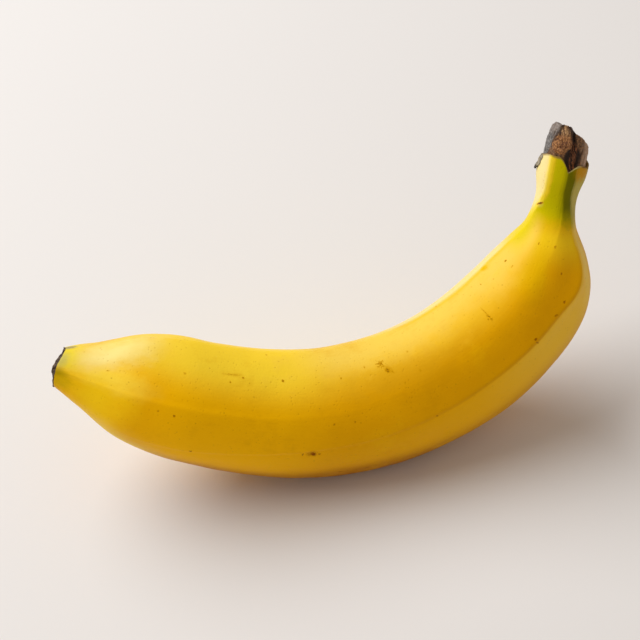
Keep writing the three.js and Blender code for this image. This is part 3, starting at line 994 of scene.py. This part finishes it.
def skin_top_ring(share, radius_less=0.0, drop=0.0):
    """A ring on the way from the neck to the ragged edge of the skin."""
    ring = []
    for facet in SKIN_COLUMNS:
        angle = facet_angle(facet, SKIN_EDGE_START)
        top = skin_edge(angle)
        at = lerp(SKIN_EDGE_START, top, share) - drop
        radius = girth(at) * section_share(facet, SKIN_EDGE_START) + skin_bumps(at, angle) - radius_less
        ring.append((place(at, angle, radius), at, angle, facet, top - at))
    return ring


def skin_places():
    """Distances of the skin's rings: close where it turns quickly, wider on the belly."""
    at = 0.0
    while at < SKIN_EDGE_START - 1:
        yield at
        at += clamp(min(1.2 + 0.17 * at, 1.7 + 0.09 * abs(at - 172)), 1.2, 4.2)
    yield SKIN_EDGE_START


def make_skin():
    rings = [skin_ring(0, *inner) for inner in ((5.0, 2.6), (2.2, 2.4), (0.9, 1.0), (0.4, 0.1))]
    rings += [skin_ring(at) for at in skin_places()]
    rings += [skin_top_ring(share) for share in SKIN_TOP_SHARES]
    rings += [skin_top_ring(1, *lip) for lip in ((0.12, 0), (0.55, 0), (1.0, 0.8), (2.2, 3))]
    piece = Tube("banana_skin", len(SKIN_COLUMNS)).close(rings)
    subdivide(piece, 2)
    roughen(piece, 0.011, 0.00035, 1)
    press_flat(piece)
    return piece


def press_flat(piece):
    """Presses the belly flat where it lies on the floor."""
    only(piece)
    bpy.ops.object.mode_set(mode="EDIT")
    bpy.ops.mesh.select_all(action="DESELECT")
    mesh = bmesh.from_edit_mesh(piece.data)
    for vertex in mesh.verts:
        vertex.select_set(vertex.co.z < 0)
    bpy.ops.transform.resize(value=(1, 1, 0), center_override=(0, 0, 0))
    bpy.ops.object.mode_set(mode="OBJECT")


# ---- The dried crown ----

CROWN_COLUMNS = 72
CROWN_START = 187
CROWN_SECTION = 188  # the crown keeps the section that the neck has here
CROWN_CORE = 202.2  # the middle of the broken top
CROWN_TOP_RADIUS = 4.5
# How far along the fruit the broken top of the crown reaches, by angle: it is high over the
# woolly pad and steps down over the smooth lobe.
CROWN_RIM = through([
    (-160, 198.8), (-110, 200.2), (-70, 202.6), (-30, 204.3), (0, 205.2), (25, 206.1), (50, 206), (75, 205.5),
    (88, 204.7), (96, 203.6), (104, 202.6), (120, 201.5), (140, 199.6), (160, 198.6), (200, 198.8),
])


def crown_top(angle):
    x, y = on_circle(angle)
    ragged = 0.35 * grain(x * 3, y * 3, 0, 8.2) + 0.2 * grain(x * 9, y * 9, 0, 1.2)
    return CROWN_RIM(turned(angle, 20) + 20) + ragged


def crown_relief(at, angle):
    """The crown's own lumps, as (height, how deep in a hollow, how much of the woolly pad)."""
    bent = angle + 5 * grain(at * 0.5, angle * 0.05, 0, 1.7)
    along = at + 0.6 * grain(at * 0.4, angle * 0.08, 0, 5.2)
    pad = swell(along, bent, (202, 54), (5.2, 37), 1.0, 0.22)
    lobe = swell(along, bent, (199, 130), (6, 30), 1.0, 0.5)
    crack = swell(along, bent, (202.5, 91), (9, 11), 1.0, 0.8)
    notch = swell(along, bent, (195.8, 91), (4.5, 31), 1.0, 0.4)
    seam = swell(along, bent - 3 * (at - 200), (201.5, 20), (5, 6), 1.0)
    left = swell(at, angle, (198, -42), (8, 40), 0.35)
    back = swell(along, bent, (199, 215), (6, 34), 0.7, 0.5)
    back += swell(along, bent, (199, -95), (7, 36), 0.5, 0.5)
    split = swell(along, bent, (198, 174), (7, 6), 1.0) + swell(along, bent, (198, 258), (6, 6), 1.0)
    over_edge = smooth((at - skin_edge(angle) + 0.6) / 1.6)
    raised = 0.95 * pad * over_edge + 0.5 * lobe + left + back
    height = raised - 1.5 * crack - 1.5 * notch - 0.6 * seam - split
    shreds = max(0.0, grain(at * 0.25, angle * 0.3, 0, 6.6)) * notch
    return height + 1.1 * shreds, clamp(crack + notch + 0.7 * seam + split - 0.5 * shreds), pad


def crown_ring(share):
    ring = []
    for column in range(CROWN_COLUMNS):
        angle = -180 + 360 * column / CROWN_COLUMNS
        at = lerp(CROWN_START, crown_top(angle), share)
        rise = clamp((at - NECK_END) / CROWN_LENGTH)
        section = section_share(facet_of(angle, CROWN_SECTION), CROWN_SECTION)
        taper = lerp(girth(NECK_END) - 0.45, CROWN_TOP_RADIUS, rise ** 3)
        height, hollow, pad = crown_relief(at, angle)
        inside = smooth((192 - at) / 3)
        radius = taper * section + height * (1 - inside) - 1.2 * inside
        ring.append((place(at, angle, radius), at, angle, pad, hollow))
    return ring


def crown_cap_ring(share):
    """The broken top's own surface, from its edge towards its middle."""
    ring = []
    middle = place(CROWN_CORE, 0, 0)
    for point, at, angle, pad, hollow in crown_ring(1):
        lump = 0.0007 * grain(point.x * 500 * share, point.y * 500 * share, share * 3, 2.4)
        inner = middle.lerp(point, share) + heading_vector(205) * (lump + 0.0005 * (1 - share * share))
        ring.append((inner, at, angle, pad * share, hollow * share))
    return ring


def make_crown():
    rings = [crown_ring(i / 26) for i in range(27)]
    rings += [crown_cap_ring(share) for share in (0.88, 0.7, 0.5, 0.32, 0.14)]
    piece = Tube("stem_crown", CROWN_COLUMNS, ("pad", "hollow")).close(rings)
    subdivide(piece, 2)
    wool = group_from(piece, "pad", 0.25)
    roughen(piece, 0.0011, 0.00045, 3)
    roughen(piece, 0.0005, 0.0007, 2, wool)
    return piece


def group_from(piece, stored, least):
    """A vertex group that holds a stored value, and a little everywhere."""
    group = piece.vertex_groups.new(name=stored)
    for vertex, value in zip(piece.data.vertices, piece.data.attributes[stored].data):
        group.add([vertex.index], clamp(max(value.value, least)), "REPLACE")
    return group.name


# ---- A sliver of dried skin that stands off below the crown ----

FLAKE_COLUMNS = 12
FLAKE_RINGS = 14
FLAKE_TOP = (194.9, -14)
FLAKE_TIP = (189.8, -26)


def flake_ring(share):
    """A flat oval ring across the sliver, which lifts off the skin towards its lower end."""
    at = lerp(FLAKE_TOP[0], FLAKE_TIP[0], share)
    middle = lerp(FLAKE_TOP[1], FLAKE_TIP[1], share)
    width = 10 * (1 - share) ** 0.6 + 4
    thick = 0.34 - 0.1 * share
    lift = 0.55 * share ** 1.5 - 0.25 + 0.06 * math.sin(share * 9)
    ring = []
    for column in range(FLAKE_COLUMNS):
        turn = math.radians(360 * column / FLAKE_COLUMNS)
        angle = middle + width * math.cos(turn) + 1.6 * math.sin(share * 13)
        facet = facet_of(angle, SKIN_EDGE_START)
        ground = girth(at) * section_share(facet, SKIN_EDGE_START) + skin_bumps(at, angle)
        curl = 0.35 * math.cos(turn) ** 2
        radius = ground + lift + curl + thick * math.sin(turn) + 0.12 * grain(at * 1.3, angle * 0.3, 0, 7.7)
        ring.append((place(at, angle, radius), at, angle, abs(math.cos(turn)), share))
    return ring


def make_flake():
    rings = [flake_ring(i / (FLAKE_RINGS - 1)) for i in range(FLAKE_RINGS)]
    piece = Tube("stem_flake", FLAKE_COLUMNS, ("border", "lift")).close(rings)
    subdivide(piece, 2)
    roughen(piece, 0.0009, 0.0002, 2)
    return piece


# ---- The dried blossom tip ----

BLOSSOM_COLUMNS = 60
BLOSSOM_RIM_RADIUS = 6.3
# Rings from inside the skin, over the thin rim and down into the dish: forward of the cut,
# radius and how ragged.
BLOSSOM_RINGS = (
    (-3.2, 4.6, 0), (-1.6, 5.7, 0), (-0.6, 6.1, 0.1), (-0.1, 6.15, 0.2), (0.1, 6.2, 0.6), (0.2, 6.3, 1.0),
    (0.25, 6.1, 1.2), (0.1, 5.8, 0.9), (-0.4, 5.5, 0.5), (-1.0, 4.7, 0.3), (-1.4, 3.6, 0.3), (-1.5, 2.4, 0.2),
    (-1.0, 1.4, 0.2), (-0.6, 1.0, 0.2), (-0.4, 0.5, 0.1),
)


def blossom_ring(forward, radius, ragged):
    ring = []
    for column in range(BLOSSOM_COLUMNS):
        angle = -180 + 360 * column / BLOSSOM_COLUMNS
        x, y = on_circle(angle)
        wave = grain(x * 2.1, y * 2.1, 0, 4.4) + 0.9 * grain(x * 6, y * 6, 0, 9.9)
        wave += 0.5 * grain(x * 14, y * 14, 0, 2.2)
        facet = facet_of(angle, 0)
        share = lerp(1, section_share(facet, 0), radius / BLOSSOM_RIM_RADIUS)
        film = swell(0, angle, (0, 62), (1, 50), 0.6, 0.8) * ragged
        at = tip_cut(angle, 0) * min(radius / 6, 1) - forward - 0.3 * ragged * wave - film
        point = place(at, angle, radius * share * (1 + 0.05 * ragged * wave))
        ring.append((point, at, angle, forward, clamp(1 - radius / BLOSSOM_RIM_RADIUS)))
    return ring


def make_blossom():
    rings = [blossom_ring(*values) for values in BLOSSOM_RINGS]
    piece = Tube("blossom_tip", BLOSSOM_COLUMNS, ("forward", "inwards")).close(rings)
    subdivide(piece, 2)
    roughen(piece, 0.0009, 0.00035, 3)
    return piece


# ---- The floor ----

FLOOR_SIZE = 6
FLOOR_HEIGHT = -0.00003  # a hair under the fruit


def add_floor():
    bpy.ops.object.select_all(action="DESELECT")
    bpy.ops.mesh.primitive_plane_add(size=FLOOR_SIZE, location=(0, 0, FLOOR_HEIGHT))
    floor = bpy.context.object
    floor.name = "floor"
    floor.data.materials.append(floor_paint())


add_camera()
add_light()
add_floor()
finish_piece(make_skin(), skin_paint())
finish_piece(make_crown(), crown_paint())
finish_piece(make_flake(), flake_paint())
finish_piece(make_blossom(), blossom_paint())
